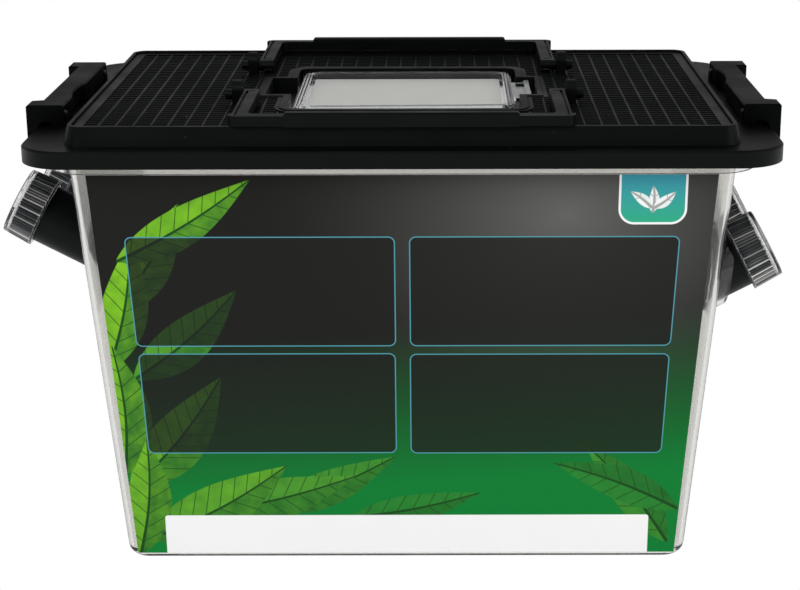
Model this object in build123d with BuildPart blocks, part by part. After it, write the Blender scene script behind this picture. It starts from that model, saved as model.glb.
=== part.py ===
"""Cricket keeper box: clear tapered tank, vented carry lid with trap door, hide tubes and a twin bowl.

Units are millimetres. X runs along the length, -Y is the labelled front, +Z is up.
The origin is the centre of the flat base that the box stands on.
"""
import os
from math import cos, pi, radians, sin

from build123d import *

# ---------------------------------------------------------------- running clearances
seat_gap = 0.3          # between a loose piece and the flat face it rests on
side_gap = 0.3          # between a loose piece and the walls beside it
pin_gap = 0.06          # radial, between a moulded pin and its bore
tube_gap = 0.3          # radial, between a hide tube and its socket

# ---------------------------------------------------------------- tank
base_length = 240.0
base_width = 159.0
base_edge = 5.0         # outer radius where the walls meet the floor
mouth_length = 268.8
mouth_width = 184.0
wall_corner = 10.0      # outer radius between two walls
tank_height = 181.4
tank_wall = 2.0
tank_floor = 2.2
floor_chamfer = 2.0     # inside, between the walls and the floor
rim_overhang = 6.4      # the rim stands out this far past the wall's top
rim_drop = 7.2          # height of the rim's down-turned lip
rim_wall = 2.0

# ---------------------------------------------------------------- hide tubes, sockets and caps
tube_diameter = 26.0
tube_wall = 1.5
tube_length = 250.0
tube_tilt = 28.0        # degrees, the outer end is the high one
socket_height = 122.5   # where a tube's axis crosses the middle of the end wall
socket_wall = 1.9
socket_reach = 6.0      # how far a socket stands out of the end wall
socket_square = 4.4     # its square face stands this far past the slope's crossing with the axis
outer_row = 57.0        # distance of the outer tubes from the box's centre plane
inner_row = 19.0
cap_length = 13.5
cap_mouth_diameter = 30.9
cap_end_diameter = 29.5
cap_end_wall = 1.6
cap_shoulder = 1.2      # hollow between the tube's end and the cap's end wall
cap_gap = 0.1
cap_ribs = 30
cap_rib_depth = 0.45
cap_stand_off = 2.1     # a pushed-in cap stops this far from its socket
left_pull = 20.0        # the left tubes stand pulled out by this much

# ---------------------------------------------------------------- lid
lid_wall = 2.2
flange_past_rim_x = 11.5
flange_past_rim_y = 2.6
flange_corner = 20.0
flange_depth = 7.0
flange_edge = 0.8
platform_length = 266.5
platform_width = 178.3
platform_corner = 6.0
platform_flare = 1.8    # the platform's walls lean out by this much at their foot
platform_rise = 7.6
bead_width = 1.5
bead_height = 0.9
ledge_width = 3.2
ledge_thickness = 2.0
rib_drop = 4.6          # locating rib that drops inside the tank's mouth
rib_wall = 2.0
carrier_margin = 2.5    # a bar under the grille is this much wider than its lugs, each side
stay_width = 4.8        # bars that tie the door frame to the ledge and the carriers
stay_spacing_x = 59.0
stay_spacing_y = 55.2

# ---------------------------------------------------------------- vent grille
grille_thickness = 2.0
column_pitch = 6.94
column_rib = 1.0        # width of the web between two columns of slots
bar_pitch = 33.3
bar_width = 2.4
grille_margin = 4.0

# ---------------------------------------------------------------- trap door and its frame
door_length = 94.0
door_width = 80.6
door_corner = 7.0
door_depth = 5.2        # full height of the door's border
door_border = 3.9
door_panel = 1.7
panel_drop = 2.8        # from the border's top to the panel's top
door_below_bead = 1.7
door_edge_gap = 2.2
opening_corner = 5.0    # tighter than the door's corner, so that the turned-up door clears it
frame_wall = 3.0
frame_proud = 0.3       # the frame stands this much over the grille
ledge_reach = 5.0       # how far the door's seat reaches in under it
hinge_relief = 10.0     # width cut from the seat beside the hinge, where the door swings down
relief_margin = 1.0
well_overlap = 1.0      # a well runs this far into the opening, so that no wall is left between
finger_well_length = 10.0
finger_well_width = 38.0
tab_well_length = 7.2
tab_length = 7.6
tab_width = 36.0
tab_thickness = 1.5
tab_ridge = 2.2
tab_side_gap = 2.0
tab_rise = 0.2          # underside of the tab, above the top of the panel
door_edge = 0.8
door_pin_radius = 1.4
door_pin_length = 3.6
door_pin_inset = 1.9    # from the door's hinged edge to the pin's axis
door_pin_drop = 2.3     # from the border's top to the pin's axis

# ---------------------------------------------------------------- handles
handle_length = 137.4
arm_width = 6.2
arm_inset = 1.3         # the arms stand in from the crossbar's ends
arm_thickness = 4.4
pivot_y = 34.5
pivot_rise = 2.3        # pin axis above the bead
crossbar_reach = 91.5   # from the centre plane to the crossbar's outer face
crossbar_depth = 5.6
crossbar_thickness = 4.1
crossbar_corner = 3.0
arm_corner = 3.0        # inside, between an arm and the crossbar
grip_length = 93.0
grip_proud = 0.8
grip_depth = 5.2
grip_thickness = 5.7
grip_edge = 0.8
handle_pin_radius = 2.1
lug_thickness = 4.1
lug_width = 8.6
lug_height = 8.5        # above the bead
lug_gap = 0.9           # between an arm and its lug
pin_end = 3.2           # the pin's end shows this far outside the lug
groove_width = 1.1
groove_depth = 0.8
groove_outset = 1.5     # from the arm's middle out to the groove
groove_end = 2.0        # the groove stops this far from each end of its arm
slot_size = (3.6, 1.4)  # pocket across each arm's top beside its pin
slot_depth = 2.2
nub_diameter = 1.6      # small feet under the crossbar, two beside each end of the grip
nub_height = 0.35
nub_inner_x = 51.0
nub_pitch = 6.6
nub_inset = 1.2         # from the crossbar's outer face to a foot's middle

# ---------------------------------------------------------------- latches
latch_length = 103.0
latch_wall = 2.2
latch_top_wall = 1.8
latch_inner_x = 141.0
latch_outer_x = 151.9   # outer face between the finger tabs
latch_tab_x = 156.6     # outer face of the finger tabs
latch_tab_width = 10.5
latch_top_rise = 1.1    # the latch's top stands over the platform's top
latch_hook_overlap = 2.5
latch_hook_gap = 0.3
latch_hook_thickness = 3.6
latch_waist = 1.9       # depth of the hollow in the inner edge
waist_middle = 16.5
waist_length = 30.0
latch_tab_slope = 1.5
latch_edge = 0.6
latch_bend = 2.5        # inner radius where the top turns down outside the flange
latch_pivot_x = 143.5
latch_pivot_rise = 3.3  # pin axis above the flange
latch_pin_radius = 1.6
latch_pin_length = 6.4
latch_arch_rise = 1.7
ear_thickness = 4.0
notch_gap = 0.4
ear_gap = 0.6           # on each side of a knuckle, between it and the latch's inner wall

# ---------------------------------------------------------------- twin bowl and its water cover
bowl_length = 44.0
bowl_width = 72.0
bowl_height = 15.0
bowl_corner = 6.0
bowl_wall = 1.8
bowl_floor = 1.8
cover_thickness = 1.6
cover_ledge = 1.4
cover_slot = 2.2
cover_slot_count = 5
cover_slot_margin = 6.0
bowl_edge = 1.5

# ---------------------------------------------------------------- label film
label_thickness = 0.3
label_top_margin = 8.0  # to the wall's side edge, at the label's top
label_bottom_margin = 5.4
label_below_rim = 9.0
label_above_base = 3.4

# ---------------------------------------------------------------- worked-out levels and lengths
rim_length = mouth_length + 2 * rim_overhang
rim_width = mouth_width + 2 * rim_overhang
rim_corner = wall_corner + rim_overhang
lip_bottom = tank_height - rim_drop
flange_length = rim_length + 2 * flange_past_rim_x
flange_width = rim_width + 2 * flange_past_rim_y
flange_under = tank_height + seat_gap
flange_top = flange_under + lid_wall
skirt_bottom = flange_top - flange_depth
platform_top = flange_top + platform_rise
deck_top = platform_top - bead_height
deck_seat = deck_top - grille_thickness
ledge_bottom = deck_seat - ledge_thickness
grille_length = platform_length - 2 * bead_width - 2 * side_gap
grille_width = platform_width - 2 * bead_width - 2 * side_gap
grille_corner = platform_corner - bead_width
pivot_z = platform_top + pivot_rise
arm_outer_x = handle_length / 2 - arm_inset
lug_inner_x = arm_outer_x + lug_gap
lug_top = platform_top + lug_height
door_top = platform_top - door_below_bead
door_bottom = door_top - door_depth
door_seat = door_bottom - seat_gap
frame_top = deck_top + frame_proud
opening_length = door_length + 2 * door_edge_gap
opening_width = door_width + 2 * door_edge_gap
tube_radius = tube_diameter / 2
axis_slope = radians(tube_tilt)
taper_x = (mouth_length - base_length) / 2
taper_y = (mouth_width - base_width) / 2

os.makedirs("parts", exist_ok=True)


def save(part, name):
    """Label a finished piece and write it to its own STEP file."""
    part.label = name
    export_step(part, f"parts/{name}.step")


def share_at(height):
    """How far up the tank a level is, from 0 at the base to 1 at the rim's top."""
    return height / tank_height


def wall_x(height):
    """Outer half length of the tapered tank at a level."""
    return base_length / 2 + taper_x * share_at(height)


def wall_y(height):
    """Outer half width of the tapered tank at a level."""
    return base_width / 2 + taper_y * share_at(height)


def end_slope(side):
    """Plane on an end wall's outer face, its Z pointing out."""
    return Plane(
        origin=(side * wall_x(0), 0, 0), x_dir=(0, 1, 0), z_dir=(side * tank_height, 0, -taper_x)
    )


def long_slope(side):
    """Plane on the front (-1) or the back (1) wall's outer face, its Z pointing out."""
    return Plane(
        origin=(0, side * wall_y(0), 0), x_dir=(1, 0, 0), z_dir=(0, side * tank_height, -taper_y)
    )


def socket_axis(side, row):
    """Plane on the middle of an end wall, its Z pointing up and out along a tube."""
    middle = side * (wall_x(socket_height) - tank_wall / 2)
    outward = (side * cos(axis_slope), 0, sin(axis_slope))
    return Plane(origin=(middle, row, socket_height), x_dir=(0, 1, 0), z_dir=outward)


# Rows of tubes: each end has one outer and one inner tube, turned half round from the other end,
# so that the four long tubes pass beside one another inside.
tube_rows = {
    "right_front": (1, -outer_row, 0.0),
    "right_rear": (1, inner_row, 0.0),
    "left_front": (-1, -inner_row, left_pull),
    "left_rear": (-1, outer_row, left_pull),
}

# ---------------------------------------------------------------- tank
socket_radius = tube_radius + tube_gap + socket_wall
cap_seat = socket_reach / cos(axis_slope) + socket_square


def make_socket(side, row):
    """Short sloped boss rooted in an end wall, cut parallel to the wall and square at its top."""
    with BuildPart() as socket:
        with BuildSketch(socket_axis(side, row).offset(-tube_radius)):
            Circle(socket_radius)
        extrude(amount=tube_radius + cap_seat)
        split(bisect_by=end_slope(side).offset(socket_reach), keep=Keep.BOTTOM)
        split(bisect_by=end_slope(side).offset(-tank_wall / 2), keep=Keep.TOP)
    return socket.part


def tapered_block(inset, foot):
    """Block between the four sloped walls moved in by an inset, standing on a level."""
    with BuildPart() as block:
        with BuildSketch(Plane.XY.offset(foot)):
            Rectangle(mouth_length, mouth_width)
        extrude(amount=tank_height - foot)
        for side in (-1, 1):
            split(bisect_by=end_slope(side).offset(-inset), keep=Keep.BOTTOM)
            split(bisect_by=long_slope(side).offset(-inset), keep=Keep.BOTTOM)
        fillet(block.edges().group_by(Axis.Z)[1], wall_corner - inset)
        foot_edges = block.faces().sort_by(Axis.Z)[0].edges()
        if inset:
            chamfer(foot_edges, floor_chamfer)
        else:
            fillet(foot_edges, base_edge)
    return block.part


sockets = [make_socket(side, row) for side, row, _ in tube_rows.values()]
tank_outside = tapered_block(0, 0)
tank_inside = tapered_block(tank_wall, tank_floor)

with BuildPart() as tank:
    with BuildSketch(Plane.XY.offset(lip_bottom)):
        RectangleRounded(rim_length, rim_width, rim_corner)
    extrude(amount=rim_drop)
    with BuildSketch(Plane.XY.offset(lip_bottom)):
        RectangleRounded(rim_length - 2 * rim_wall, rim_width - 2 * rim_wall, rim_corner - rim_wall)
    extrude(amount=rim_drop - rim_wall, mode=Mode.SUBTRACT)
    add(tank_outside)
    add(sockets)
    add(tank_inside, mode=Mode.SUBTRACT)
    for side, row, _ in tube_rows.values():
        with BuildSketch(socket_axis(side, row).offset(-tube_diameter)):
            Circle(tube_radius + tube_gap)
        extrude(amount=2 * tube_diameter, mode=Mode.SUBTRACT)

save(tank.part, "tank")

# ---------------------------------------------------------------- label film on the front wall
slope_stretch = (tank_height**2 + taper_y**2) ** 0.5 / tank_height
label_top = tank_height - label_below_rim
label_foot = label_above_base * slope_stretch
label_head = label_top * slope_stretch
foot_half = wall_x(label_above_base) - label_bottom_margin
head_half = wall_x(label_top) - label_top_margin

with BuildPart() as front_label:
    with BuildSketch(long_slope(-1)):
        with BuildLine():
            Polyline(
                (-foot_half, label_foot),
                (foot_half, label_foot),
                (head_half, label_head),
                (-head_half, label_head),
                close=True,
            )
        make_face()
    extrude(amount=label_thickness)

save(front_label.part, "front_label")

# ---------------------------------------------------------------- lid: flange, platform, frame and lugs
notch_length = latch_length + 2 * notch_gap
notch_x = latch_outer_x - latch_wall - notch_gap
carrier_x = lug_inner_x + lug_thickness / 2
carrier_width = lug_thickness + 2 * carrier_margin
frame_bottom = door_seat - lid_wall
frame_width = opening_width + 2 * frame_wall
hinge_x = -(door_length / 2 - door_pin_inset)
hinge_z = door_top - door_pin_drop
latch_pivot_z = flange_top + latch_pivot_rise
ear_y = latch_length / 2 - latch_wall - side_gap - ear_thickness / 2
ear_radius = latch_pivot_rise


def flange_outline(inset):
    """Flange seen from above, with a shallow notch in each end for its latch."""
    RectangleRounded(
        flange_length - 2 * inset, flange_width - 2 * inset, flange_corner - inset
    )
    notch_cut = flange_length / 2 - notch_x
    with Locations((flange_length / 2, 0), (-flange_length / 2, 0)):
        Rectangle(2 * (notch_cut + inset), notch_length + 2 * inset, mode=Mode.SUBTRACT)


def frame_outline(margin):
    """Door frame seen from above: a band round the opening and round each well beside it."""
    band = 2 * (frame_wall + margin)
    with Locations(((opening_length + tab_well_length) / 2, 0)):
        Rectangle(tab_well_length + band, tab_width + 2 * tab_side_gap + band)
    with Locations((-(opening_length + finger_well_length) / 2, 0)):
        Rectangle(finger_well_length + band, finger_well_width + band)
    RectangleRounded(
        opening_length + band, opening_width + band, opening_corner + frame_wall + margin
    )


with BuildPart() as lid:
    # Flange with its skirt, open underneath.
    with BuildSketch(Plane.XY.offset(skirt_bottom)):
        flange_outline(0)
    extrude(amount=flange_depth)
    chamfer(lid.faces().sort_by(Axis.Z)[-1].edges(), flange_edge)
    with BuildSketch(Plane.XY.offset(skirt_bottom)):
        flange_outline(lid_wall)
    extrude(amount=flange_depth - lid_wall, mode=Mode.SUBTRACT)
    # Raised platform with leaning walls.
    with BuildSketch(Plane.XY.offset(flange_top)):
        RectangleRounded(
            platform_length + 2 * platform_flare,
            platform_width + 2 * platform_flare,
            platform_corner + platform_flare,
        )
    with BuildSketch(Plane.XY.offset(platform_top)):
        RectangleRounded(platform_length, platform_width, platform_corner)
    loft()
    with BuildSketch(Plane.XY.offset(flange_under)):
        RectangleRounded(
            platform_length - 2 * lid_wall, platform_width - 2 * lid_wall, platform_corner - lid_wall
        )
    extrude(amount=ledge_bottom - flange_under, mode=Mode.SUBTRACT)
    # Window for the grille: a ledge to carry it, then a pocket inside the bead.
    with BuildSketch(Plane.XY.offset(ledge_bottom)):
        RectangleRounded(
            grille_length - 2 * ledge_width, grille_width - 2 * ledge_width, grille_corner
        )
    extrude(amount=ledge_thickness, mode=Mode.SUBTRACT)
    with BuildSketch(Plane.XY.offset(deck_seat)):
        RectangleRounded(
            grille_length + 2 * side_gap, grille_width + 2 * side_gap, grille_corner
        )
    extrude(amount=platform_top - deck_seat, mode=Mode.SUBTRACT)
    # Bars under the grille: two carry the handle lugs, four tie the door frame to the ledge.
    with BuildSketch(Plane.XY.offset(ledge_bottom)):
        with Locations((carrier_x, 0), (-carrier_x, 0)):
            Rectangle(carrier_width, grille_width - ledge_width)
        with GridLocations(stay_spacing_x, 0, 2, 1):
            Rectangle(stay_width, grille_width - ledge_width)
        with GridLocations(0, stay_spacing_y, 1, 2):
            Rectangle(2 * carrier_x, stay_width)
    extrude(amount=ledge_thickness)
    # Locating rib that drops inside the tank's mouth.
    with BuildSketch(Plane.XY.offset(flange_under - rib_drop)):
        RectangleRounded(
            mouth_length - 2 * (tank_wall + side_gap + rib_wall / 2),
            mouth_width - 2 * (tank_wall + side_gap + rib_wall / 2),
            wall_corner - tank_wall,
        )
        offset(amount=-rib_wall, mode=Mode.SUBTRACT)
    extrude(amount=rib_drop + lid_wall)
    # Door frame with its opening, the door's seat, the finger well and the tab well.
    with BuildSketch(Plane.XY.offset(frame_bottom)):
        frame_outline(0)
    extrude(amount=frame_top - frame_bottom)
    with BuildSketch(Plane.XY.offset(door_seat)):
        RectangleRounded(opening_length, opening_width, opening_corner)
        with Locations((-(opening_length + finger_well_length) / 2, 0)):
            Rectangle(finger_well_length + 2 * well_overlap, finger_well_width)
        with Locations(((opening_length + tab_well_length) / 2, 0)):
            Rectangle(tab_well_length + 2 * well_overlap, tab_width + 2 * tab_side_gap)
    extrude(amount=frame_top - door_seat, mode=Mode.SUBTRACT)
    with BuildSketch(Plane.XY.offset(frame_bottom)):
        RectangleRounded(
            opening_length - 2 * ledge_reach, opening_width - 2 * ledge_reach, door_corner
        )
        with Locations(((hinge_relief - opening_length) / 2, 0)):
            Rectangle(hinge_relief, opening_width - 2 * relief_margin)
    extrude(amount=door_seat - frame_bottom, mode=Mode.SUBTRACT)
    with BuildSketch(Plane.XZ.offset(-frame_width / 2)):
        with Locations((hinge_x, hinge_z)):
            Circle(door_pin_radius + pin_gap)
    extrude(amount=frame_width, mode=Mode.SUBTRACT)
    # Four lugs with round tops, bored for the handles' pins.
    for side in (-1, 1):
        lug_plane = Plane(origin=(side * lug_inner_x, 0, 0), x_dir=(0, side, 0), z_dir=(side, 0, 0))
        with BuildSketch(lug_plane):
            with Locations((pivot_y, lug_top - lug_width / 2), (-pivot_y, lug_top - lug_width / 2)):
                Circle(lug_width / 2)
            lug_foot = lug_top - lug_width / 2 - deck_seat
            with Locations((pivot_y, deck_seat + lug_foot / 2), (-pivot_y, deck_seat + lug_foot / 2)):
                Rectangle(lug_width, lug_foot)
        extrude(amount=lug_thickness)
        with BuildSketch(lug_plane):
            with Locations((pivot_y, pivot_z), (-pivot_y, pivot_z)):
                Circle(handle_pin_radius + pin_gap)
        extrude(amount=lug_thickness, mode=Mode.SUBTRACT)
    # Knuckles for the latch pins, standing on the flange inside each latch.
    for side in (-1, 1):
        for end in (-1, 1):
            ear_plane = Plane(
                origin=(side * latch_pivot_x, end * ear_y - ear_thickness / 2, latch_pivot_z),
                x_dir=(-1, 0, 0),
                z_dir=(0, 1, 0),
            )
            with BuildSketch(ear_plane):
                Circle(ear_radius)
                with Locations((0, -ear_radius / 2)):
                    Rectangle(2 * ear_radius, ear_radius)
            extrude(amount=ear_thickness)
            with BuildSketch(ear_plane):
                Circle(latch_pin_radius + pin_gap)
            extrude(amount=ear_thickness, mode=Mode.SUBTRACT)

save(lid.part, "lid")

# ---------------------------------------------------------------- vent grille: webs, bars and slots
columns = int((grille_length - 2 * grille_margin) / column_pitch)
rows = int((grille_width - 2 * grille_margin) / bar_pitch)
slot_length = column_pitch - column_rib
slot_width = bar_pitch - bar_width

with BuildPart() as vent_grille:
    with BuildSketch(Plane.XY.offset(deck_seat)):
        RectangleRounded(grille_length, grille_width, grille_corner)
    extrude(amount=grille_thickness)
    # Columns of slots, left whole under the frame and round the lugs.
    with BuildSketch(Plane.XY.offset(deck_seat)):
        with GridLocations(column_pitch, bar_pitch, columns, rows):
            Rectangle(slot_length, slot_width)
        with GridLocations(2 * carrier_x, 2 * pivot_y, 2, 2):
            Rectangle(lug_thickness + 2 * bar_width, lug_width + 2 * bar_width, mode=Mode.SUBTRACT)
        with BuildSketch(mode=Mode.SUBTRACT):
            frame_outline(bar_width)
    extrude(amount=grille_thickness, mode=Mode.SUBTRACT)
    # Cut-outs that pass the door frame and the four lugs.
    with BuildSketch(Plane.XY.offset(deck_seat)):
        frame_outline(side_gap)
        with GridLocations(2 * carrier_x, 2 * pivot_y, 2, 2):
            Rectangle(lug_thickness + 2 * side_gap, lug_width + 2 * side_gap)
    extrude(amount=grille_thickness, mode=Mode.SUBTRACT)

save(vent_grille.part, "vent_grille")

# ---------------------------------------------------------------- trap door
tab_under = door_top - panel_drop + tab_rise
tab_root = (door_length - door_border) / 2
panel_length = door_length - 2 * door_border
panel_width = door_width - 2 * door_border
panel_corner = door_corner / 2
with BuildPart() as trap_door:
    # Raised border round a lower clear panel.
    with BuildSketch(Plane.XY.offset(door_bottom)):
        RectangleRounded(door_length, door_width, door_corner)
    extrude(amount=door_depth)
    chamfer(trap_door.faces().sort_by(Axis.Z)[-1].edges(), door_edge)
    with BuildSketch(Plane.XY.offset(door_top - panel_drop)):
        RectangleRounded(panel_length, panel_width, panel_corner)
    extrude(amount=panel_drop, mode=Mode.SUBTRACT)
    with BuildSketch(Plane.XY.offset(door_bottom)):
        RectangleRounded(panel_length, panel_width, panel_corner)
    extrude(amount=door_depth - panel_drop - door_panel, mode=Mode.SUBTRACT)
    # Lifting tab with an upstanding end ridge.
    with BuildSketch(Plane.XY.offset(tab_under)):
        with Locations((door_length / 2 + tab_length, 0)):
            Rectangle(
                door_length / 2 + tab_length - tab_root, tab_width, align=(Align.MAX, Align.CENTER)
            )
    extrude(amount=tab_thickness)
    with BuildSketch(Plane.XY.offset(tab_under)):
        with Locations((door_length / 2 + tab_length - tab_ridge / 2, 0)):
            Rectangle(tab_ridge, tab_width)
    extrude(amount=door_top - tab_under)
    # Hinge pins at the two corners of the hinged edge.
    with BuildSketch(Plane.XZ.offset(-door_width / 2 - door_pin_length)):
        with Locations((hinge_x, hinge_z)):
            Circle(door_pin_radius)
    extrude(amount=door_corner + door_pin_length)
    with BuildSketch(Plane.XZ.offset(door_width / 2 - door_corner)):
        with Locations((hinge_x, hinge_z)):
            Circle(door_pin_radius)
    extrude(amount=door_corner + door_pin_length)

save(trap_door.part, "trap_door")

# ---------------------------------------------------------------- carry handles
arm_center_x = arm_outer_x - arm_width / 2
arm_bottom = pivot_z - handle_pin_radius
arm_top = arm_bottom + arm_thickness
crossbar_inner = crossbar_reach - crossbar_depth
grip_bottom = platform_top + seat_gap

with BuildPart() as front_handle:
    # Two arms with round eyes at the pins.
    with BuildSketch(Plane.YZ.offset(-handle_length / 2)):
        with Locations((-pivot_y, pivot_z)):
            Circle(handle_pin_radius)
        with Locations((-(pivot_y + crossbar_reach) / 2, arm_bottom + arm_thickness / 2)):
            Rectangle(crossbar_reach - pivot_y, arm_thickness)
    extrude(amount=handle_length)
    with BuildSketch(Plane.XY.offset(arm_bottom)):
        with Locations((0, -pivot_y)):
            RectangleRounded(
                2 * (arm_outer_x - arm_width), 2 * (crossbar_inner - pivot_y), arm_corner
            )
        for side in (-1, 1):
            with Locations((side * handle_length / 2, -pivot_y)):
                Rectangle(2 * arm_inset, 2 * (crossbar_inner - pivot_y))
    extrude(amount=arm_thickness, mode=Mode.SUBTRACT)
    with BuildSketch(Plane.XY.offset(arm_bottom)):
        with Locations((0, -crossbar_reach + crossbar_depth / 2)):
            Rectangle(handle_length, crossbar_depth + side_gap)
    extrude(amount=arm_thickness - crossbar_thickness, mode=Mode.SUBTRACT)
    fillet(front_handle.edges().filter_by(Axis.Z).group_by(Axis.Y)[0], crossbar_corner)
    # Thicker grip in the middle of the crossbar.
    with BuildSketch(Plane.XY.offset(grip_bottom)):
        with Locations((0, -(crossbar_reach + grip_proud) + grip_depth / 2)):
            Rectangle(grip_length, grip_depth)
    extrude(amount=grip_thickness)
    chamfer(front_handle.faces().sort_by(Axis.Z)[-1].edges(), grip_edge)
    # Feet under the crossbar, which keep it off the bead.
    with BuildSketch(Plane.XY.offset(arm_top - crossbar_thickness - nub_height)):
        with Locations((0, -crossbar_reach + nub_inset)):
            with GridLocations(2 * nub_inner_x, 0, 2, 1):
                Circle(nub_diameter / 2)
            with GridLocations(2 * (nub_inner_x + nub_pitch), 0, 2, 1):
                Circle(nub_diameter / 2)
    extrude(amount=nub_height)
    # Groove along the top of each arm, and a short slot across it beside the pin.
    groove_start = pivot_y + handle_pin_radius + groove_end
    with BuildSketch(Plane.XY.offset(arm_top - groove_depth)):
        with Locations((0, -(groove_start + crossbar_reach - groove_end) / 2)):
            with GridLocations(2 * (arm_center_x + groove_outset), 0, 2, 1):
                Rectangle(groove_width, crossbar_reach - groove_end - groove_start)
    extrude(amount=groove_depth, mode=Mode.SUBTRACT)
    with BuildSketch(Plane.XY.offset(arm_top - slot_depth)):
        with Locations((0, -groove_start)):
            with GridLocations(2 * arm_center_x, 0, 2, 1):
                Rectangle(*slot_size)
    extrude(amount=slot_depth, mode=Mode.SUBTRACT)
    # Pins that pass through the lugs.
    pin_reach = lug_inner_x + lug_thickness + pin_end
    for side in (-1, 1):
        pin_plane = Plane(
            origin=(side * (arm_outer_x - arm_width), -pivot_y, pivot_z),
            x_dir=(0, 1, 0),
            z_dir=(side, 0, 0),
        )
        with BuildSketch(pin_plane):
            Circle(handle_pin_radius)
        extrude(amount=pin_reach - arm_outer_x + arm_width)

save(front_handle.part, "front_handle")

with BuildPart() as rear_handle:
    add(front_handle.part, rotation=(0, 0, 180))

save(rear_handle.part, "rear_handle")

# ---------------------------------------------------------------- latches
latch_top = platform_top + latch_top_rise
hook_top = lip_bottom - latch_hook_gap
hook_bottom = hook_top - latch_hook_thickness
hook_tip_x = rim_length / 2 - latch_hook_overlap
arch_top = flange_top + latch_arch_rise
half_latch = latch_length / 2
tab_start = half_latch - latch_tab_width


def latch_outline(inset):
    """Right latch seen from above: finger tabs outside, a hollow waist inside."""
    inner = latch_inner_x + inset
    outer = latch_outer_x - inset
    tab = latch_tab_x - inset
    end = half_latch - inset
    root = tab_start + inset
    with BuildLine() as outline:
        Polyline(
            (inner, end),
            (tab, end),
            (tab, root),
            (outer, root - latch_tab_slope),
            (outer, latch_tab_slope - root),
            (tab, -root),
            (tab, -end),
            (inner, -end),
            (inner, waist_middle - waist_length / 2),
        )
        ThreePointArc(
            (inner, waist_middle - waist_length / 2),
            (inner + latch_waist, waist_middle),
            (inner, waist_middle + waist_length / 2),
        )
        Line((inner, waist_middle + waist_length / 2), (inner, end))
    make_face(outline.edges())


with BuildPart() as right_latch:
    with BuildSketch(Plane.XY.offset(hook_bottom)):
        latch_outline(0)
    extrude(amount=latch_top - hook_bottom)
    chamfer(right_latch.faces().sort_by(Axis.Z)[-1].edges(), latch_edge)
    with BuildSketch(Plane.XY.offset(hook_top)):
        latch_outline(latch_wall)
    extrude(amount=latch_top - latch_top_wall - hook_top, mode=Mode.SUBTRACT)
    # Open the inner side under the arch, so that the latch straddles the flange and the rim.
    with BuildSketch(Plane.XZ.offset(-half_latch)):
        with Locations((latch_outer_x - latch_wall, arch_top)):
            Rectangle(
                latch_outer_x, arch_top - hook_bottom, align=(Align.MAX, Align.MAX)
            )
    extrude(amount=latch_length, mode=Mode.SUBTRACT)
    with BuildSketch(Plane.XZ.offset(-half_latch)):
        with Locations((latch_outer_x - latch_bend, arch_top - latch_bend)):
            Circle(latch_bend)
        with Locations((latch_outer_x, arch_top - latch_bend)):
            Rectangle(
                latch_outer_x - latch_inner_x,
                arch_top - latch_bend - hook_top,
                align=(Align.MAX, Align.MAX),
            )
    extrude(amount=latch_length, mode=Mode.SUBTRACT)
    # Gaps in the inner wall beside the lid's knuckles.
    with BuildSketch(Plane.XY.offset(arch_top)):
        with GridLocations(0, 2 * ear_y, 1, 2):
            with Locations((latch_inner_x, 0)):
                Rectangle(
                    2 * (latch_wall + latch_waist + side_gap), ear_thickness + 2 * ear_gap
                )
    extrude(amount=latch_top - latch_top_wall - arch_top, mode=Mode.SUBTRACT)
    # Wall and hook outside the flange, the hook reaching in under the tank's rim.
    with BuildSketch(Plane.XZ.offset(-tab_start)):
        with BuildLine():
            Polyline(
                (latch_outer_x, arch_top),
                (latch_outer_x, hook_bottom),
                (hook_tip_x, hook_bottom),
                (hook_tip_x, hook_top),
                (latch_outer_x - latch_wall, hook_top),
                (latch_outer_x - latch_wall, arch_top),
                close=True,
            )
        make_face()
    extrude(amount=2 * tab_start)
    # Hinge pins on the end walls.
    for end in (-1, 1):
        pin_plane = Plane(
            origin=(latch_pivot_x, end * (half_latch - latch_wall / 2), latch_pivot_z),
            x_dir=(1, 0, 0),
            z_dir=(0, -end, 0),
        )
        with BuildSketch(pin_plane):
            Circle(latch_pin_radius)
        extrude(amount=latch_pin_length)

save(right_latch.part, "right_latch")

with BuildPart() as left_latch:
    add(right_latch.part, rotation=(0, 0, 180))

save(left_latch.part, "left_latch")

# ---------------------------------------------------------------- hide tubes and their caps
cap_mouth_offset = cap_seat + cap_stand_off
tube_end_offset = cap_mouth_offset + cap_length - cap_end_wall - cap_shoulder


def rib_ring(mean_diameter):
    """Closed zigzag of fine ribs, as points round a circle."""
    points = []
    for step in range(2 * cap_ribs):
        radius = mean_diameter / 2 - (cap_rib_depth if step % 2 else 0)
        angle = pi * step / cap_ribs
        points.append((radius * cos(angle), radius * sin(angle)))
    with BuildLine() as outline:
        Polyline(*points, close=True)
    make_face(outline.edges())


def make_tube(name, side, row, pull):
    """Plain black tube, its outer end inside the cap."""
    with BuildPart() as tube:
        with BuildSketch(socket_axis(side, row).offset(tube_end_offset + pull - tube_length)):
            Circle(tube_radius)
            Circle(tube_radius - tube_wall, mode=Mode.SUBTRACT)
        extrude(amount=tube_length)
    save(tube.part, name)


def make_cap(name, side, row, pull):
    """Clear ribbed cap, a push fit over the tube's outer end."""
    mouth = socket_axis(side, row).offset(cap_mouth_offset + pull)
    with BuildPart() as cap:
        with BuildSketch(mouth):
            rib_ring(cap_mouth_diameter)
        with BuildSketch(mouth.offset(cap_length)):
            rib_ring(cap_end_diameter)
        loft(ruled=True)
        with BuildSketch(mouth):
            Circle(tube_radius + cap_gap)
        extrude(amount=cap_length - cap_end_wall, mode=Mode.SUBTRACT)
    save(cap.part, name)


for corner, (side, row, pull) in tube_rows.items():
    make_tube(f"{corner}_tube", side, row, pull)
    make_cap(f"{corner}_cap", side, row, pull)

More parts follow.
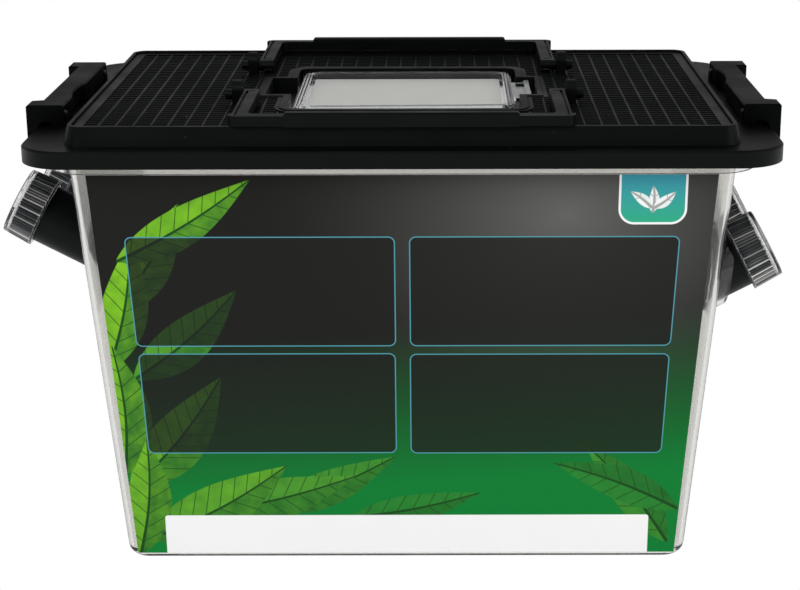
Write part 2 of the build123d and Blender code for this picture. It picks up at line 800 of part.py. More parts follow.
# ---------------------------------------------------------------- twin bowl and water cover
bowl_bottom = tank_floor + seat_gap
bowl_top = bowl_bottom + bowl_height
pocket_length = bowl_length - 2 * bowl_wall
pocket_width = (bowl_width - 3 * bowl_wall) / 2
pocket_y = (pocket_width + bowl_wall) / 2
cover_length = pocket_length - 2 * side_gap
cover_width = pocket_width - 2 * side_gap
cover_bottom = bowl_top - cover_thickness

with BuildPart() as feeding_bowl:
    with BuildSketch(Plane.XY.offset(bowl_bottom)):
        RectangleRounded(bowl_length, bowl_width, bowl_corner)
    extrude(amount=bowl_height)
    chamfer(feeding_bowl.faces().sort_by(Axis.Z)[0].edges(), bowl_edge)
    # Food pocket and water pocket, the water pocket with a step for its cover.
    with BuildSketch(Plane.XY.offset(cover_bottom - seat_gap)):
        with Locations((0, pocket_y), (0, -pocket_y)):
            RectangleRounded(pocket_length, pocket_width, bowl_corner - bowl_wall)
    extrude(amount=bowl_top - cover_bottom + seat_gap, mode=Mode.SUBTRACT)
    with BuildSketch(Plane.XY.offset(bowl_bottom + bowl_floor)):
        with Locations((0, pocket_y), (0, -pocket_y)):
            RectangleRounded(
                pocket_length - 2 * cover_ledge,
                pocket_width - 2 * cover_ledge,
                bowl_corner - bowl_wall - cover_ledge,
            )
    extrude(amount=bowl_height, mode=Mode.SUBTRACT)

save(feeding_bowl.part, "feeding_bowl")

with BuildPart() as water_cover:
    with BuildSketch(Plane.XY.offset(cover_bottom)):
        with Locations((0, -pocket_y)):
            RectangleRounded(cover_length, cover_width, bowl_corner - bowl_wall - side_gap)
            with GridLocations(0, 2 * cover_slot, 1, cover_slot_count):
                Rectangle(cover_length - 2 * cover_slot_margin, cover_slot, mode=Mode.SUBTRACT)
    extrude(amount=cover_thickness)

save(water_cover.part, "water_cover")
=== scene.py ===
"""Cricket keeper box: finishes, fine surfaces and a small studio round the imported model.

Every length is in metres, but a value named in capitals is in millimetres unless its comment says
otherwise. X runs along the box, -Y is the labelled front and +Z is up. Each piece stays at the origin,
with its place in its mesh.
"""
from math import cos, pi, radians, sin

import bmesh
import bpy
import numpy as np
from bpy.props import FloatProperty, FloatVectorProperty, IntProperty, PointerProperty
from bpy.types import Operator, Panel, PropertyGroup
from mathutils import Matrix, Vector


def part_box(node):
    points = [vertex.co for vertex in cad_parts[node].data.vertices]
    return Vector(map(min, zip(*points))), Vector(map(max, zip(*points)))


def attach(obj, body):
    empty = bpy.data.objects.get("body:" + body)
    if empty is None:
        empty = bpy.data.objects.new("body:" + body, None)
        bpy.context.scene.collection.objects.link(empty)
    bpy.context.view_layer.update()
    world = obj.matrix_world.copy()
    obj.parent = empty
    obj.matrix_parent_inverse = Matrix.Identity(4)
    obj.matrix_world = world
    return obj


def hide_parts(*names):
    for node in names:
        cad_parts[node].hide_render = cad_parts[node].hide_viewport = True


bl_info = {
    "name": "Cricket Keeper Box",
    "version": (1, 0, 0),
    "blender": (4, 5, 0),
    "location": "View3D > Sidebar > Keeper Box",
    "description": "Finishes and fine surfaces for a vented insect keeper with hide tubes",
    "category": "Add Mesh",
}

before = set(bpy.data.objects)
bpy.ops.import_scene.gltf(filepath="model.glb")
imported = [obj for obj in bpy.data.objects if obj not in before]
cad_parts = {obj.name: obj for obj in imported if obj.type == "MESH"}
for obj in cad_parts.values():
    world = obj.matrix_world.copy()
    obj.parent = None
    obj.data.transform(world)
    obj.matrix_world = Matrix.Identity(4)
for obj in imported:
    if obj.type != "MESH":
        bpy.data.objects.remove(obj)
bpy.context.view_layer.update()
MM = 0.001


# ---- settings a user may change
def colour(name, description, default):
    """Colour property in linear light."""
    return FloatVectorProperty(
        name=name, description=description, subtype="COLOR", size=3, min=0, max=1, default=default
    )


def length(name, description, default):
    """Length property, kept in metres and shown in the scene's units."""
    return FloatProperty(
        name=name, description=description, unit="LENGTH", precision=5, min=0, default=default
    )


def share(name, description, default, top=1.0):
    """Plain number from 0 to a top value."""
    return FloatProperty(name=name, description=description, min=0, max=top, default=default)


class KeeperTankSettings(PropertyGroup):
    clear: colour("Clear plastic", "Tint of the tank", (0.74, 0.735, 0.71))
    roughness: share("Roughness", "Polish of the tank's walls", 0.03)
    flow: share("Flow marks", "Depth of the moulding's faint flow marks", 0.15)
    edge: length("Softened edge", "Rounding of the tank's edges", 0.0004)


class KeeperLidSettings(PropertyGroup):
    black: colour("Black plastic", "Colour of the lid, latches and handles", (0.001, 0.001, 0.001))
    roughness: share("Roughness", "Roughness of the black plastic", 0.4)
    edge: length("Softened edge", "Rounding of the moulded edges", 0.0004)
    dust: share("Dust", "Share of the black plastic with pale specks", 0.35)


class KeeperGrilleSettings(PropertyGroup):
    web_pitch: length("Web pitch", "Distance between the webs that run front to back", 0.00694)
    web_width: length("Web width", "Width of one web at its foot", 0.001)
    bar_pitch: length("Bar pitch", "Distance between the cross bars", 0.0041)
    bar_width: length("Bar width", "Width of one cross bar at its foot", 0.0013)
    border: length("Border", "Plain strip round the slots", 0.0042)


class KeeperCapSettings(PropertyGroup):
    ribs: IntProperty(name="Ribs", description="Grip ribs round a cap", min=12, max=120, default=72)
    rib_depth: length("Rib depth", "Depth of the grooves between the ribs", 0.0006)
    plain_band: length("Plain band", "Smooth band at the closed end", 0.0027)
    clear: colour("Clear plastic", "Tint of the caps", (0.86, 0.865, 0.86))
    tube: colour("Tube", "Colour of the hide tubes", (0.002, 0.0022, 0.0024))


class KeeperLabelSettings(PropertyGroup):
    top: colour("Top", "Charcoal at the label's top", (0.013, 0.013, 0.0118))
    glow: colour("Glow", "Grey of the soft light in the charcoal", (0.1, 0.1, 0.096))
    foot: colour("Foot", "Green at the label's foot", (0.0058, 0.19, 0.034))
    leaf: colour("Leaf", "Bright side of a leaf", (0.2, 0.5, 0.02))
    shade: colour("Leaf shade", "Dark side of a leaf", (0.015, 0.12, 0.02))
    line: colour("Line", "Thin outline of the panels", (0.08, 0.3, 0.36))


class KeeperStageSettings(PropertyGroup):
    floor: colour("Floor", "Colour of the floor", (0.84, 0.84, 0.84))
    sky: share("Sky", "Even light on matte surfaces", 0.86, 4.0)
    gloss: share("Gloss", "Brightness of the sky where a glossy surface shows it", 0.35, 4.0)
    key: FloatProperty(name="Key lamp", description="Power of the key lamp", unit="POWER", default=13)
    fill: FloatProperty(name="Fill lamp", description="Power of the fill lamp", unit="POWER", default=6)


# ---- shader nodes
def add(tree, kind, inputs=None, **settings):
    """New node with its settings made and its inputs linked or filled in."""
    node = tree.nodes.new(kind)
    for name, value in settings.items():
        setattr(node, name, value)
    feed(tree, node.inputs, inputs or {})
    return node


def feed(tree, sockets, values):
    """Give named sockets their values: an output is linked, and any other value is written."""
    for name, value in values.items():
        socket = sockets[name]
        if isinstance(value, bpy.types.NodeSocket):
            tree.links.new(value, socket)
        elif socket.type == "RGBA" and len(value) == 3:
            socket.default_value = (*value, 1)
        else:
            socket.default_value = value


def calc(tree, operation, first, second=0.0, third=0.0):
    """Output of one Math node."""
    node = add(tree, "ShaderNodeMath", {0: first, 1: second, 2: third}, operation=operation)
    return node.outputs[0]


def blend(tree, factor, under, over, kind="MIX"):
    """Output of one colour Mix node."""
    given = {0: factor, 6: under, 7: over}
    return add(tree, "ShaderNodeMix", given, data_type="RGBA", blend_type=kind).outputs[2]


def ramp(tree, value, low, high, start=0.0, end=1.0):
    """Value carried from one range to another and held at its ends."""
    given = {"Value": value, "From Min": low, "From Max": high, "To Min": start, "To Max": end}
    return add(tree, "ShaderNodeMapRange", given).outputs[0]


def noise(tree, place, scale, detail=2.0):
    """Output of one Noise node, its scale in features per unit of its place."""
    node = add(tree, "ShaderNodeTexNoise", {"Vector": place, "Scale": scale, "Detail": detail})
    return node.outputs["Fac"]


def object_place(tree, scale=(1, 1, 1)):
    """The object's own coordinates, stretched by a Mapping node."""
    coordinates = add(tree, "ShaderNodeTexCoord")
    mapping = add(tree, "ShaderNodeMapping", {"Vector": coordinates.outputs["Object"], "Scale": scale})
    return mapping.outputs[0]


# Kinds of the group sockets that hold no plain number.
KINDS = {"Place": "NodeSocketVector"}
KINDS |= dict.fromkeys(("Under", "Light", "Dark", "Fill", "Line", "Colour"), "NodeSocketColor")


def new_group(name, inputs, outputs):
    """Empty shader group with named sockets, and the nodes that bring them in and out."""
    tree = bpy.data.node_groups.new(name, "ShaderNodeTree")
    for way, sockets in (("INPUT", inputs), ("OUTPUT", outputs)):
        for socket in sockets:
            kind = KINDS.get(socket, "NodeSocketFloat")
            tree.interface.new_socket(socket, in_out=way, socket_type=kind)
    entry = tree.nodes.new("NodeGroupInput")
    leave = tree.nodes.new("NodeGroupOutput")
    return tree, entry.outputs, leave.inputs


def use_group(tree, name, inputs, fill):
    """Place a shared group in a tree, making it the first time."""
    group = bpy.data.node_groups.get(name) or fill(name)
    return add(tree, "ShaderNodeGroup", inputs, node_tree=group).outputs


def moulded_grain(name):
    """Fine spark-eroded grain, slow patches of wear and a few pale specks of dust."""
    outputs = ("Height", "Patches", "Specks")
    tree, given, gives = new_group(name, ("Place", "Grain", "Dust"), outputs)
    fine = noise(tree, given["Place"], given["Grain"], 3.0)
    slow = noise(tree, given["Place"], 45.0, 3.0)
    cells = add(tree, "ShaderNodeTexVoronoi", {"Vector": given["Place"], "Scale": 260.0})
    spread = noise(tree, given["Place"], 130.0)
    near = ramp(tree, cells.outputs["Distance"], 0.05, 0.09, 1.0, 0.0)
    chosen = ramp(tree, spread, 0.66, 0.7)
    specks = calc(tree, "MULTIPLY", calc(tree, "MULTIPLY", near, chosen), given["Dust"])
    feed(tree, gives, {"Height": fine, "Patches": slow, "Specks": specks})
    return tree


def flow_marks(name):
    """Faint streaks that run the way a clear moulding filled, with a slow waviness."""
    tree, given, gives = new_group(name, ("Place", "Streaks", "Waves"), ("Height", "Haze"))
    streaks = noise(tree, given["Place"], given["Streaks"], 3.0)
    waves = noise(tree, given["Place"], given["Waves"], 1.0)
    height = calc(tree, "MULTIPLY_ADD", streaks, 0.35, waves)
    feed(tree, gives, {"Height": height, "Haze": ramp(tree, streaks, 0.55, 0.8)})
    return tree


def leaf_print(name):
    """One printed leaf over a colour.

    Along runs from 0 at the root to 1 at the tip. The half width is the sine of pi times along to the
    power 0.8, times half the leaf's width. Side veins are bands of along minus distance from the rib.
    """
    inputs = ("Under", "Place", "Root X", "Root Z", "Turn", "Length", "Width", "Light", "Dark")
    tree, given, gives = new_group(name, inputs, ("Colour",))
    point = add(tree, "ShaderNodeSeparateXYZ", {0: given["Place"]}).outputs
    dx = calc(tree, "SUBTRACT", point["X"], given["Root X"])
    dz = calc(tree, "SUBTRACT", point["Z"], given["Root Z"])
    turn_cos = calc(tree, "COSINE", given["Turn"])
    turn_sin = calc(tree, "SINE", given["Turn"])
    reach = calc(tree, "MULTIPLY_ADD", dx, turn_cos, calc(tree, "MULTIPLY", dz, turn_sin))
    risen = calc(tree, "MULTIPLY", dz, turn_cos)
    straight = calc(tree, "SUBTRACT", risen, calc(tree, "MULTIPLY", dx, turn_sin))
    along = ramp(tree, calc(tree, "DIVIDE", reach, given["Length"]), 0.0, 1.0)
    sag = calc(tree, "MULTIPLY", calc(tree, "SINE", calc(tree, "MULTIPLY", along, pi)), 0.12)
    across = calc(tree, "MULTIPLY_ADD", sag, given["Width"], straight)
    away = calc(tree, "ABSOLUTE", across)
    bow = calc(tree, "SINE", calc(tree, "MULTIPLY", calc(tree, "POWER", along, 0.8), pi))
    half = calc(tree, "MULTIPLY", calc(tree, "MULTIPLY", bow, given["Width"]), 0.5)
    inside = ramp(tree, calc(tree, "SUBTRACT", half, away), 0.0, 0.35)
    rib_half = ramp(tree, along, 0.0, 1.0, 0.55, 0.15)
    rib = ramp(tree, calc(tree, "SUBTRACT", away, rib_half), 0.0, 0.3, 1.0, 0.0)
    phase = calc(tree, "MULTIPLY_ADD", away, -0.8, reach)
    vein = ramp(tree, calc(tree, "PINGPONG", phase, 3.4), 0.16, 0.42, 0.75, 0.0)
    lines = calc(tree, "MAXIMUM", rib, vein)
    side = ramp(tree, across, -0.6, 0.6, 0.25, 0.8)
    cloud = noise(tree, given["Place"], 0.16, 3.0)
    tone = calc(tree, "MULTIPLY_ADD", calc(tree, "SUBTRACT", cloud, 0.5), 1.1, side)
    tone = calc(tree, "MULTIPLY_ADD", along, 0.2, tone)
    body = blend(tree, ramp(tree, tone, 0.0, 1.1), given["Dark"], given["Light"])
    veined = blend(tree, lines, body, blend(tree, 0.55, given["Dark"], (0.01, 0.02, 0.008)))
    feed(tree, gives, {"Colour": blend(tree, inside, given["Under"], veined)})
    return tree


def card_print(name):
    """A panel with rounded corners and leaning sides, over a colour.

    The distance to its outline is the rounded-box distance: the length of the positive parts of the
    point's distance past the inner box, plus the larger of them where both are negative, less the radius.
    """
    sides = ("Left", "Right", "Left Lean", "Right Lean", "Foot", "Top")
    inputs = ("Under", "Place", *sides, "Corner", "Line Width", "Fill", "Cover", "Line")
    tree, given, gives = new_group(name, inputs, ("Colour", "Distance"))
    point = add(tree, "ShaderNodeSeparateXYZ", {0: given["Place"]}).outputs
    rise = calc(tree, "SUBTRACT", point["Z"], given["Foot"])
    left = calc(tree, "MULTIPLY_ADD", rise, given["Left Lean"], given["Left"])
    right = calc(tree, "MULTIPLY_ADD", rise, given["Right Lean"], given["Right"])
    middle_x = calc(tree, "MULTIPLY", calc(tree, "ADD", left, right), 0.5)
    half_x = calc(tree, "MULTIPLY", calc(tree, "SUBTRACT", right, left), 0.5)
    middle_z = calc(tree, "MULTIPLY", calc(tree, "ADD", given["Foot"], given["Top"]), 0.5)
    half_z = calc(tree, "MULTIPLY", calc(tree, "SUBTRACT", given["Top"], given["Foot"]), 0.5)
    past = []
    for value, middle, half in ((point["X"], middle_x, half_x), (point["Z"], middle_z, half_z)):
        away = calc(tree, "ABSOLUTE", calc(tree, "SUBTRACT", value, middle))
        past.append(calc(tree, "ADD", calc(tree, "SUBTRACT", away, half), given["Corner"]))
    outer = [calc(tree, "MAXIMUM", value, 0.0) for value in past]
    square = calc(tree, "MULTIPLY", outer[1], outer[1])
    squares = calc(tree, "MULTIPLY_ADD", outer[0], outer[0], square)
    inner = calc(tree, "MINIMUM", calc(tree, "MAXIMUM", past[0], past[1]), 0.0)
    inner = calc(tree, "SUBTRACT", inner, given["Corner"])
    distance = calc(tree, "ADD", calc(tree, "SQRT", squares), inner)
    inside = ramp(tree, distance, -0.1, 0.1, 1.0, 0.0)
    half_line = calc(tree, "MULTIPLY", given["Line Width"], 0.5)
    edge = calc(tree, "SUBTRACT", calc(tree, "ABSOLUTE", distance), half_line)
    line = ramp(tree, edge, -0.1, 0.1, 1.0, 0.0)
    filled = blend(tree, calc(tree, "MULTIPLY", inside, given["Cover"]), given["Under"], given["Fill"])
    feed(tree, gives, {"Colour": blend(tree, line, filled, given["Line"]), "Distance": distance})
    return tree


def new_material(name):
    """Material with one Principled shader, its tree and the shader's sockets."""
    material = bpy.data.materials.new(name)
    material.use_nodes = True
    tree = material.node_tree
    return material, tree, tree.nodes["Principled BSDF"].inputs


def bump(tree, height, strength, distance):
    """Normal from a Bump node."""
    node = add(tree, "ShaderNodeBump", {"Height": height, "Strength": strength, "Distance": distance})
    return node.outputs[0]


def black_plastic(name, tint, roughness, dust, specular=0.12, grain=2600.0):
    """Matte black moulded plastic with a fine grain and a little dust."""
    material, tree, shader = new_material(name)
    place = object_place(tree)
    given = {"Place": place, "Grain": grain, "Dust": dust}
    marks = use_group(tree, "moulded grain", given, moulded_grain)
    patches = ramp(tree, marks["Patches"], 0.35, 0.75, 0.0, 0.5)
    worn = blend(tree, patches, tint, [1.5 * c for c in tint])
    dusty = blend(tree, marks["Specks"], worn, (0.5, 0.5, 0.48))
    rough = ramp(tree, marks["Patches"], 0.3, 0.7, roughness - 0.06, roughness + 0.08)
    normal = bump(tree, marks["Height"], 0.35, 0.00006)
    feed(tree, shader, {"Base Color": dusty, "Roughness": rough, "Normal": normal})
    feed(tree, shader, {"Specular IOR Level": specular, "Specular Tint": (0.86, 0.98, 1)})
    return material


ACRYLIC = 1.49  # index of refraction of the clear plastic


def clear_plastic(name, tint, roughness, flow, stretch, haze=0.1, rim=0.85):
    """Clear moulded plastic with flow streaks, and painted shade that darkens it where the surface turns
    away from the view, by a rim share.
    """
    material, tree, shader = new_material(name)
    given = {"Place": object_place(tree, stretch), "Streaks": 1500.0, "Waves": 120.0}
    marks = use_group(tree, "flow marks", given, flow_marks)
    # Painted shade: the colour darkens towards the outline, where the surface turns away from the view.
    turned = add(tree, "ShaderNodeLayerWeight", {"Blend": 0.5}).outputs["Facing"]
    edge = ramp(tree, turned, 0.7, 1.0, 0.0, rim)
    shaded = blend(tree, edge, tint, [0.2 * c for c in tint])
    rough = ramp(tree, marks["Haze"], 0.0, 1.0, roughness, roughness + haze)
    normal = bump(tree, marks["Height"], flow, 0.0002)
    feed(tree, shader, {"Base Color": shaded, "Roughness": rough, "Normal": normal})
    feed(tree, shader, {"Transmission Weight": 1, "IOR": ACRYLIC})
    return material


def cap_plastic(name, tint, through):
    """Clear plastic over a black tube, with a painted dark that stands for the tube seen through it and
    painted highlights on its ribs, both stored on its mesh.
    """
    material = clear_plastic(name, tint, 0.04, 0.15, (1, 1, 1), 0.05, 0.8)
    tree = material.node_tree
    shader = tree.nodes["Principled BSDF"].inputs
    painted_glint = add(tree, "ShaderNodeAttribute", attribute_name="painted_glint").outputs["Fac"]
    painted_tube_dark = add(tree, "ShaderNodeAttribute", attribute_name="painted_tube_dark").outputs["Fac"]
    # Painted dark of the black tube seen through the plastic, mottled by a cloud.
    cloud = noise(tree, object_place(tree), 1100.0, 2.0)
    painted_tube_dark = calc(tree, "POWER", painted_tube_dark, ramp(tree, cloud, 0.35, 0.65, 0.4, 2.2))
    clear = shader["Base Color"].links[0].from_socket
    under = blend(tree, painted_tube_dark, clear, (0.012, 0.014, 0.017))
    # Painted highlights on the ribs lighten the colour towards pale.
    lit = blend(tree, painted_glint, under, (0.9, 0.9, 0.87))
    feed(tree, shader, {"Base Color": lit, "Transmission Weight": through})
    return material


def second_material(piece, material, chosen):
    """Give a piece's chosen faces another material."""
    piece.data.materials.append(material)
    piece.data.polygons.foreach_set("material_index", chosen.astype(np.int32))


def values_of(items, key):
    """Places or normals of a mesh's points or faces, as one array."""
    values = np.empty(3 * len(items))
    items.foreach_get(key, values)
    return values.reshape(-1, 3)


# ---- meshes
def link(name, mesh, material, body, slot, *nodes):
    """Put a finished mesh in the scene, on its body, in place of the CAD nodes it stands for."""
    mesh.materials.clear()
    mesh.materials.append(material)
    piece = bpy.data.objects.new(name, mesh)
    bpy.context.scene.collection.objects.link(piece)
    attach(piece, body)
    if nodes:
        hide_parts(*nodes)
    return piece


def soften(piece, width, segments=2):
    """Rounded edges and even shading on a piece with flat faces."""
    bevel = piece.modifiers.new("Softened edges", "BEVEL")
    bevel.width = width
    bevel.segments = segments
    bevel.limit_method = "ANGLE"
    bevel.angle_limit = radians(35)
    bevel.miter_outer = "MITER_ARC"
    shade_evenly(piece)


def mouldings(names, material, slot, width, segments=2):
    """Softened copies of CAD nodes, each on the body of its own name."""
    for name in names:
        piece = link(f"{name}_moulding", cad_mesh(name), material, name, slot, name)
        soften(piece, width, segments)


def shade_evenly(piece):
    """Smooth shading that follows a piece's largest faces."""
    piece.data.shade_smooth()
    normals = piece.modifiers.new("Even shading", "WEIGHTED_NORMAL")
    normals.keep_sharp = True


def cad_mesh(node, rise=None):
    """Copy of a CAD node's mesh with its loose triangles merged, its front moved if a rise is given."""
    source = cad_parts[node].data
    points = values_of(source.vertices, "co")
    corners = np.empty(len(source.loops), int)
    source.loops.foreach_get("vertex_index", corners)
    if rise is not None:
        move_front(points, rise)
    return merged(node + " surface", points, corners.reshape(-1, 3), 0.002 * MM)


def move_front(points, rise):
    """Move the front wall of the door or its frame forward, and raise its top by a rise in mm.

    The wall is what lies above the flange and in front of the frame's front corners. The rise fades to
    nothing at the hinge.
    """
    x, y, z = points.T / MM
    wall = (np.abs(x) < WALL_HALF) & (y > WALL_SPAN[0]) & (y < WALL_SPAN[1]) & (z > WALL_FOOT)
    points[wall, 1] -= FRAME_FORWARD * MM
    border = wall & (z > BORDER_TOP)
    points[border, 2] += np.interp(x[border], HINGE_FADE, (0, rise * MM))


def merged(name, points, faces, apart, turned=False):
    """Mesh from whole arrays, its near points merged and, where asked, its faces turned outwards."""
    mesh = bpy.data.meshes.new(name)
    mesh.from_pydata(points.reshape(-1, 3).tolist(), [], faces.tolist())
    work = bmesh.new()
    work.from_mesh(mesh)
    bmesh.ops.remove_doubles(work, verts=work.verts, dist=apart)
    if turned:
        bmesh.ops.recalc_face_normals(work, faces=work.faces)
    work.to_mesh(mesh)
    work.free()
    return mesh


def grid_faces(rows, columns, wrap_rows=False, wrap_columns=False):
    """Four-sided faces of a grid of points, each joining a point to the next ones along and across."""
    first = np.arange(rows if wrap_rows else rows - 1)
    second = np.arange(columns if wrap_columns else columns - 1)
    i, j = (axis.ravel() for axis in np.meshgrid(first, second, indexing="ij"))
    next_i = (i + 1) % rows
    next_j = (j + 1) % columns
    corners = (i * columns + j, next_i * columns + j, next_i * columns + next_j, i * columns + next_j)
    return np.stack(corners, axis=-1)


def straight_bars(starts, ends, half_foot, half_top, foot, top):
    """Bars with a leaning-sided, ridge-topped section along straight runs, as points and faces.

    The section is six points in the plane square to the run. Each is the run's end plus its side
    distance along the run turned a quarter round, and its level. Rows of points are joined in a
    grid that wraps round the section, and the two ends are closed by two four-sided faces each.
    """
    starts = np.asarray(starts, float)
    ends = np.asarray(ends, float)
    side = np.array([-half_foot, -half_foot, -half_top, half_top, half_foot, half_foot])
    level = np.array([foot, top - 0.3 * MM, top, top, top - 0.3 * MM, foot])
    run = ends - starts
    run /= np.linalg.norm(run, axis=1, keepdims=True)
    across = np.stack((-run[:, 1], run[:, 0]), axis=-1)
    rings = []
    for end in (starts, ends):
        flat = end[:, None, :] + side[None, :, None] * across[:, None, :]
        levels = np.broadcast_to(level, flat.shape[:2])
        rings.append(np.concatenate((flat, levels[..., None]), axis=-1))
    points = np.stack(rings, axis=1)
    ends = [[0, 1, 2, 3], [0, 3, 4, 5], [9, 8, 7, 6], [11, 10, 9, 6]]
    faces = np.concatenate((grid_faces(2, 6, wrap_columns=True), ends))
    shift = 12 * np.arange(len(starts))
    return points.reshape(-1, 3), (faces[None] + shift[:, None, None]).reshape(-1, 4)


def corner_path(corners, radii, steps=8):
    """Points of a closed path round square corners, each corner turned into a quarter circle.

    With u and v the directions to the corners before and after, the centre is the corner plus the
    radius times u + v, and a point is the centre less the radius times (v cos t + u sin t).
    """
    corners = np.asarray(corners, float)
    reach = np.asarray(radii, float)[:, None]
    before = np.roll(corners, 1, axis=0) - corners
    after = np.roll(corners, -1, axis=0) - corners
    u = before / np.linalg.norm(before, axis=1, keepdims=True)
    v = after / np.linalg.norm(after, axis=1, keepdims=True)
    t = np.linspace(0, pi / 2, steps + 1)[None, :, None]
    arc = v[:, None, :] * np.cos(t) + u[:, None, :] * np.sin(t)
    points = (corners + reach * (u + v))[:, None, :] - reach[:, None, :] * arc
    return points.reshape(-1, 2)


def path_ring(outer, inner, foot, top):
    """Flat-topped strip between two closed paths with as many points each, as points and faces."""
    paths = np.stack((outer, outer, inner, inner), axis=1)
    levels = np.broadcast_to(np.array([foot, top, top, foot]), paths.shape[:2])
    points = np.concatenate((paths, levels[..., None]), axis=-1)
    return points.reshape(-1, 3), grid_faces(len(outer), 4, True, True)


def joined(parts):
    """Several lots of points and faces as one."""
    shifts = np.cumsum([0] + [len(points) for points, _ in parts[:-1]])
    points = np.concatenate([points for points, _ in parts])
    faces = np.concatenate([faces + shift for (_, faces), shift in zip(parts, shifts)])
    return points, faces


# ---- where the tubes lie
# Side, row across the box and how far each tube is drawn out; these and the lengths are in mm.
TUBE_SLOPE = radians(28)
TUBES = {
    "right_front": (1, -57.0, 0.0),
    "right_rear": (1, 19.0, 0.0),
    "left_front": (-1, -19.0, 20.0),
    "left_rear": (-1, 57.0, 20.0),
}
TUBE_START = (128.72, 122.5)  # across and up, where a pushed-in tube's axis meets the end wall
TUBE_END = 23.995  # from there to the tube's outer end
TUBE_LENGTH = 250.0
TUBE_RADIUS = 13.0
TUBE_WALL = 1.5
CAP_MOUTH = 13.295
CAP_LENGTH = 13.5
CAP_BORE = 13.1
CAP_FLOOR = 1.6
CAP_LIP = 1.0  # how far the plain lip at the mouth reaches


def tube_frame(side, row, pull):
    """Middle of the socket moved along its tube, and the directions out along it and square to it."""
    out = np.array([side * cos(TUBE_SLOPE), 0, sin(TUBE_SLOPE)])
    start = MM * np.array([side * TUBE_START[0], row, TUBE_START[1]]) + MM * pull * out
    first = np.array([0, 1.0, 0])
    return start, out, first, np.cross(out, first)


def turned_surface(name, place, radii, stations, around, wave=None, weights=None, wrap=True):
    """Mesh of a profile turned about an axis.

    A point is the axis's start, plus its station along the axis, plus its radius times the cosine and
    sine of the turn. Where a wave is given, the radius at each turn is cut by the wave times a weight.
    """
    start, out, first, second = place
    angle = np.linspace(0, 2 * pi, around, endpoint=False)
    radius = np.asarray(radii, float)[:, None] * np.ones(around)
    if wave is not None:
        radius = radius - np.asarray(weights, float)[:, None] * wave(angle)
    along = np.asarray(stations, float)[:, None, None] * out
    ring = radius[..., None] * (np.cos(angle)[:, None] * first + np.sin(angle)[:, None] * second)
    points = start + along + ring
    return merged(name, points, grid_faces(len(radii), around, wrap, True), 0.001 * MM, True)


# ---- operators
class KEEPER_OT_tank(Operator):
    """Finish the clear tank, its rounded edges and its flow marks"""

    bl_idname = "keeper.tank"
    bl_label = "Clear tank"

    def execute(self, context):
        settings = context.scene.keeper_tank
        tint, rough, flow = settings.clear, settings.roughness, settings.flow
        material = clear_plastic("tank clear plastic", tint, rough, flow, (1, 1, 0.12))
        piece = link("clear_tank", cad_mesh("tank"), material, "tank", "clear_plastic", "tank")
        soften(piece, settings.edge)
        return {"FINISHED"}


# Leaves of the print: root across and up, turn in degrees, length, width (all mm), and brightness.
LEAVES = (
    (-60, 24, 24, 62, 17, 0.25),
    (-24, 20, 12, 58, 14, 0.1),
    (112, 8, 128, 60, 17, 0.2),
    (116, 24, 158, 58, 16, 0.1),
    (-92, 22, 14, 74, 21, 0.35),
    (-112, 84, 42, 60, 20, 0.45),
    (-120, 112, 58, 58, 20, 0.8),
    (-122, 88, 78, 60, 20, 1.0),
    (-116, 136, 32, 66, 17, 0.9),
    (-116, 34, 52, 66, 24, 0.6),
    (-118, 40, 92, 60, 22, 0.9),
    (-110, 10, 30, 70, 24, 0.55),
    (-114, 2, 84, 56, 20, 0.75),
)
# Panels of the print: left, right, lean of each side (mm per mm), foot and top, in mm.
CARDS = (
    (-109.7, -3.4, -0.046, 0.0, 99.2, 146.4),
    (2.7, 109.4, 0.0, 0.04, 99.2, 146.4),
    (-107.6, -3.6, -0.036, 0.0, 50.7, 95.7),
    (2.6, 107.6, 0.0, 0.036, 50.5, 95.4),
)
WHITE_STRIP = (-102.4, 103.4, 0.0, 0.0, -6.0, 21.3)
BADGE = (86.7, 113.2, 0.0, 0.0, 152.0, 190.0)
BADGE_LEAVES = ((99.9, 156.2, 90), (99.9, 158.2, 38), (99.9, 158.2, 142))
PAPER_WHITE = (0.86, 0.86, 0.86)
CARD_FILL = (0.013, 0.0135, 0.0125)
# The soft light in the charcoal: its middle, how it is drawn in along each axis, and its reach, in mm.
GLOW_MIDDLE = (66, 0, 156)
GLOW_STRETCH = (0.9, 0, 1.15)
GLOW_REACH = 118.0


